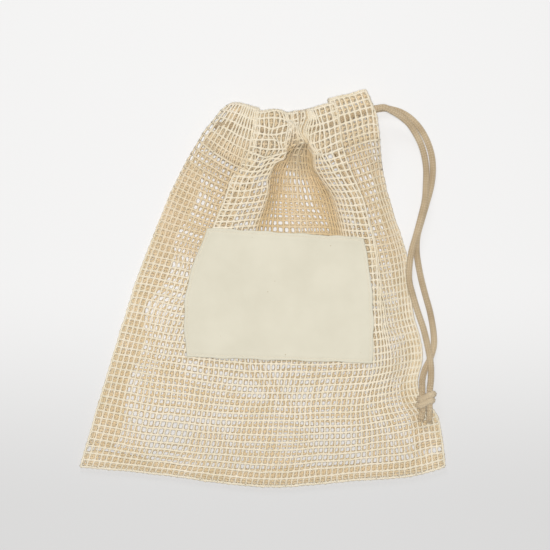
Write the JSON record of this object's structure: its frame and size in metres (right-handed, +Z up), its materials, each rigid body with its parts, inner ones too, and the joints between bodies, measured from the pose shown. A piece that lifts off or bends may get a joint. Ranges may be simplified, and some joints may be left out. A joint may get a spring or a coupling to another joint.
{
  "type": "mesh laundry bag",
  "caption": "Flat-lying cotton net bag with a gathered drawstring mouth, a doubled casing, a plain sewn canvas patch and a knotted braided cord.",
  "frame": {"origin": "middle of the bag's box at its underside, without the free cord", "axes": "+X towards the side where the drawstring leaves the casing, +Y from the bottom seam towards the mouth, +Z up from the surface the bag lies on"},
  "size_m": [0.3, 0.3269, 0.0248],
  "materials": {
    "cotton_net": "matt unbleached cotton yarn",
    "cotton_canvas": "matt plain weave",
    "sewing_thread": "matt thread",
    "braided_cord": "matt braid"
  },
  "bodies": {
    "bag": {"front_mesh_panel": "cotton_net", "back_mesh_panel": "cotton_net", "left_seam_allowance": "cotton_net", "right_seam_allowance": "cotton_net", "bottom_seam_allowance": "cotton_net", "left_seam_thread": "sewing_thread", "right_seam_thread": "sewing_thread", "bottom_seam_thread": "sewing_thread", "front_casing": "cotton_net", "back_casing": "cotton_net", "front_casing_stitching": "sewing_thread", "back_casing_stitching": "sewing_thread", "canvas_patch": "cotton_canvas", "patch_stitching": "sewing_thread"},
    "drawstring": {"drawstring_loop": "braided_cord", "drawstring_strand_a": "braided_cord", "drawstring_strand_b": "braided_cord", "drawstring_knot": "braided_cord", "drawstring_tail_a": "braided_cord", "drawstring_tail_b": "braided_cord"}
  },
  "joints": [
    {"name": "drawstring_pull", "type": "slide", "parent": "bag", "child": "drawstring", "axis": [1, 0, 0], "range_m": [0, 0.03], "deforming": ["front_casing", "back_casing"]}
  ]
}
